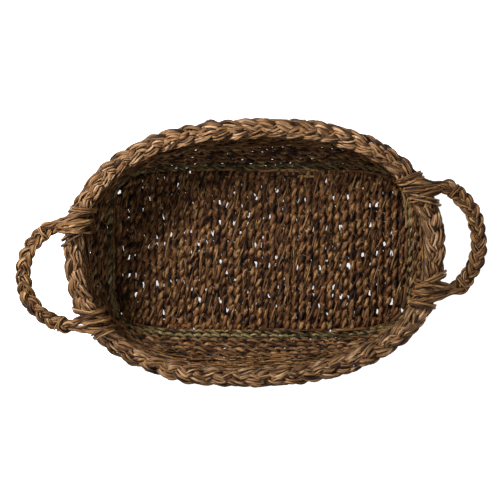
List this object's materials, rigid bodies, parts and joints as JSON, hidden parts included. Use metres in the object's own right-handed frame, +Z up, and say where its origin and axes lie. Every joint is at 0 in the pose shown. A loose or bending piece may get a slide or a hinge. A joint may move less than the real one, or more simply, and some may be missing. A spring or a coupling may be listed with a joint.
{
  "type": "bread basket",
  "caption": "Oval woven bread basket with a flat base, a flared wall, a plaited rim and two swinging plaited handles at its ends.",
  "frame": {"origin": "on the surface that the basket stands on, below the middle of the base", "axes": "+X along the length to the right handle, +Y across the width to the rear, +Z up"},
  "size_m": [0.45, 0.2538, 0.0806],
  "materials": {
    "base_weft": "matt twisted seagrass cord",
    "wall_weft": "matt twisted seagrass cord",
    "border_weft": "matt hairy seagrass cord",
    "stakes": "matt dry stalks",
    "rim_plait": "satin dry seagrass blades",
    "handle_plait": "satin dry seagrass blades"
  },
  "bodies": {
    "basket": {"base_lower_weft": "base_weft", "base_upper_weft": "base_weft", "base_stakes": "stakes", "wall_stakes": "stakes", "wall_ring_1": "wall_weft", "wall_ring_2": "wall_weft", "wall_ring_3": "wall_weft", "wall_ring_4": "wall_weft", "wall_ring_5": "wall_weft", "wall_ring_6": "wall_weft", "wall_ring_7": "wall_weft", "wall_ring_8": "border_weft", "wall_ring_9": "border_weft", "rim_strand_1": "rim_plait", "rim_strand_2": "rim_plait", "rim_strand_3": "rim_plait", "left_rear_anchor": "handle_plait", "left_front_anchor": "handle_plait", "right_rear_anchor": "handle_plait", "right_front_anchor": "handle_plait"},
    "left_handle": {"left_handle_strand_1": "handle_plait", "left_handle_strand_2": "handle_plait", "left_handle_strand_3": "handle_plait", "left_handle_rear_eye": "handle_plait", "left_handle_front_eye": "handle_plait", "left_handle_rear_binding": "handle_plait", "left_handle_front_binding": "handle_plait"},
    "right_handle": {"right_handle_strand_1": "handle_plait", "right_handle_strand_2": "handle_plait", "right_handle_strand_3": "handle_plait", "right_handle_rear_eye": "handle_plait", "right_handle_front_eye": "handle_plait", "right_handle_rear_binding": "handle_plait", "right_handle_front_binding": "handle_plait"}
  },
  "joints": [
    {"name": "left_handle_swing", "type": "hinge", "parent": "basket", "child": "left_handle", "pos_m": [-0.17951, -0.01567, 0.069], "axis": [-0.1334, 0.9911, 0], "range_deg": [-30, 75]},
    {"name": "right_handle_swing", "type": "hinge", "parent": "basket", "child": "right_handle", "pos_m": [0.1807, 0.00722, 0.069], "axis": [0.0612, -0.9981, 0], "range_deg": [-30, 75]}
  ]
}
